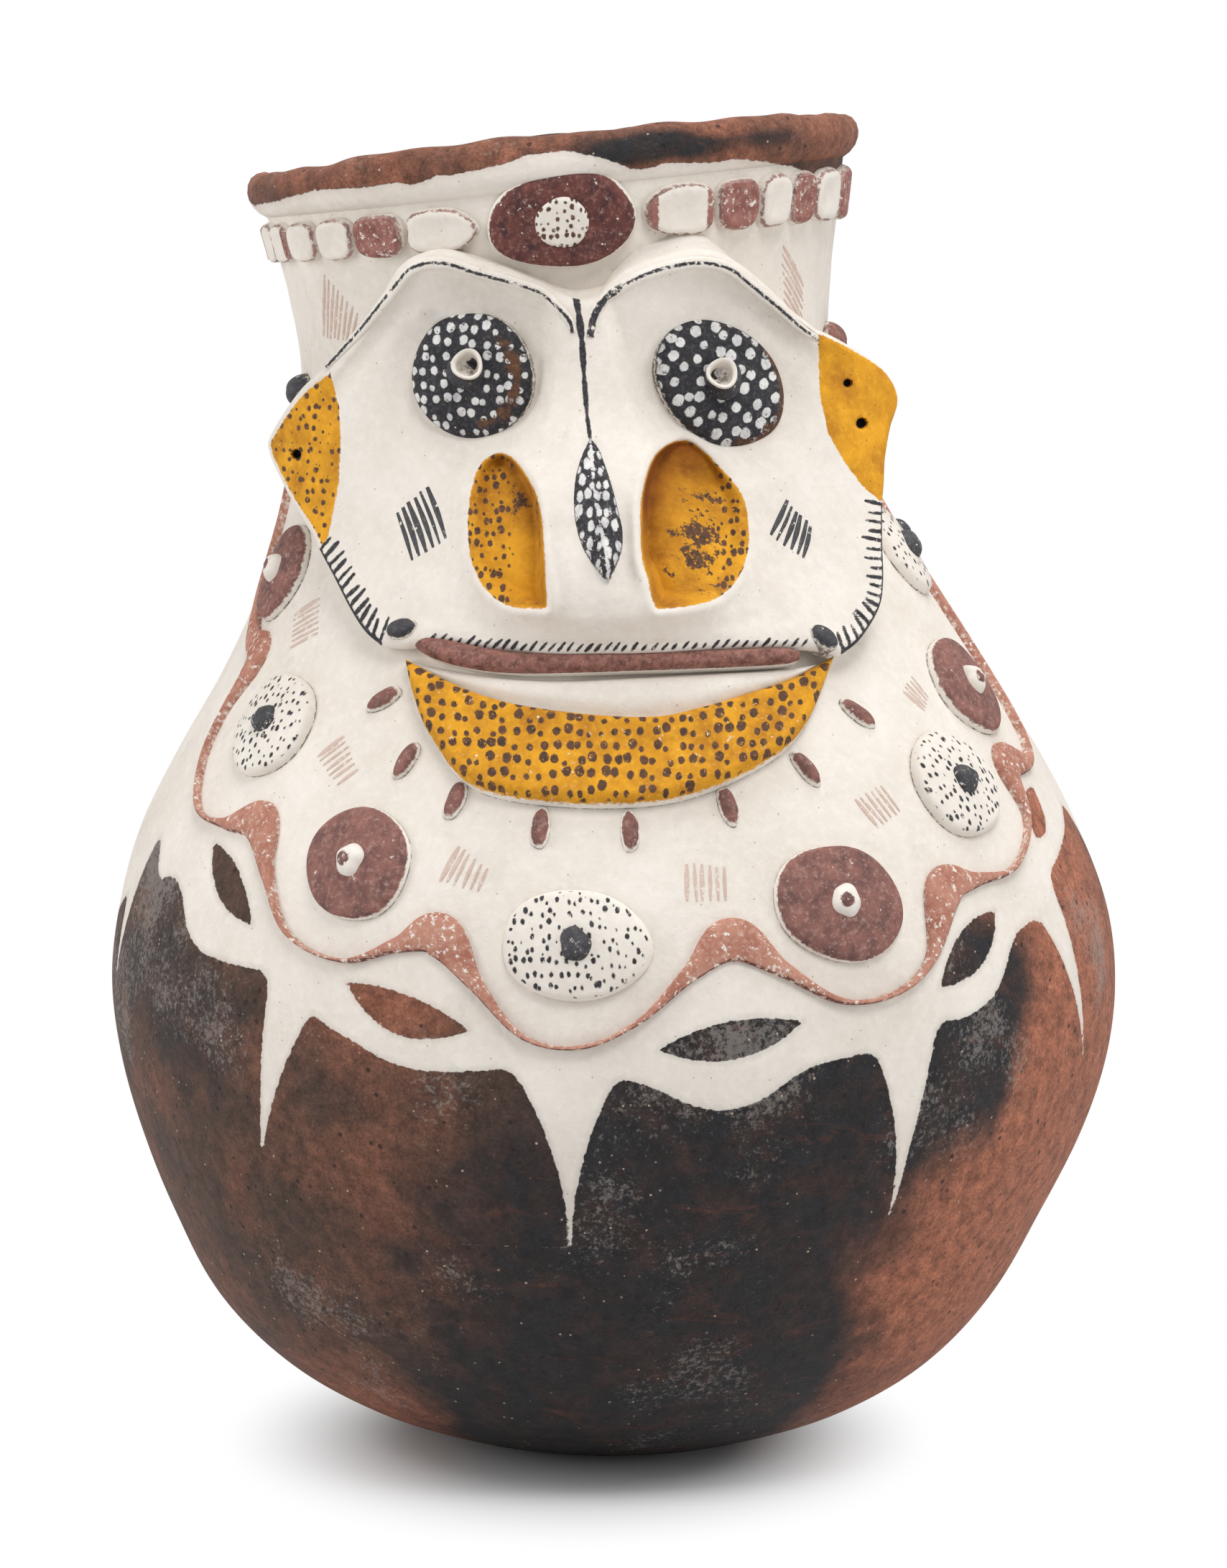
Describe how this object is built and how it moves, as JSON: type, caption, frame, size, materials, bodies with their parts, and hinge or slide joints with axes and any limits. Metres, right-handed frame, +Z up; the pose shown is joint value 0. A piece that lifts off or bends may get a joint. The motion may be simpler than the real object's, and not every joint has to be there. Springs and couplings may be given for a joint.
{
  "type": "earthenware storage jar",
  "caption": "Round-bellied earthenware storage jar with a leaning neck, a raised spirit face, slip-painted bosses and a wavy ribbon over bare fired clay.",
  "frame": {"origin": "centre of the footprint on the floor, under the middle of the belly", "axes": "+Z up, -Y towards whoever looks at the face, +X to that person's right"},
  "size_m": [0.523, 0.5392, 0.687],
  "materials": {
    "fired_clay": "matt, unglazed, smoke-clouded",
    "white_slip": "matt chalky slip",
    "red_slip": "matt slip, thinly brushed",
    "black_slip": "matt slip, slightly burnished",
    "ochre_slip": "satin ochre paint"
  },
  "bodies": {
    "root": {"back_boss_1": "red_slip", "back_boss_2": "white_slip", "back_boss_3": "red_slip", "back_boss_4": "white_slip", "back_boss_5": "red_slip", "back_boss_6": "white_slip", "back_boss_7": "red_slip", "back_boss_8": "white_slip", "back_boss_knobs": "white_slip", "back_ribbon_left": "red_slip", "back_ribbon_right": "red_slip", "band_pads_back": "white_slip", "band_pads_left": "white_slip", "band_pads_right": "white_slip", "base_bowl": "fired_clay", "belly_wall": "fired_clay", "brow_ridge_left": "black_slip", "brow_ridge_right": "black_slip", "chin_crescent": "ochre_slip", "chin_pellets": "red_slip", "ear_left": "ochre_slip", "ear_right": "ochre_slip", "eye_disc_left": "black_slip", "eye_disc_right": "black_slip", "eye_tube_left": "white_slip", "eye_tube_right": "white_slip", "face_plate": "white_slip", "forehead_medallion": "red_slip", "front_boss_1": "red_slip", "front_boss_2": "white_slip", "front_boss_3": "red_slip", "front_boss_4": "white_slip", "front_boss_5": "red_slip", "front_boss_6": "white_slip", "front_boss_7": "red_slip", "front_boss_8": "white_slip", "front_boss_knobs": "white_slip", "front_ribbon_left": "red_slip", "front_ribbon_right": "red_slip", "lower_lip": "white_slip", "lower_wall": "fired_clay", "medallion_centre": "white_slip", "mouth_corner_left": "black_slip", "mouth_corner_right": "black_slip", "neck_knob_left": "black_slip", "neck_knob_right": "red_slip", "neck_wall": "white_slip", "nose": "white_slip", "nose_ridge": "black_slip", "rim_lip": "fired_clay", "shoulder_wall": "white_slip", "upper_lip": "red_slip"}
  },
  "joints": []
}
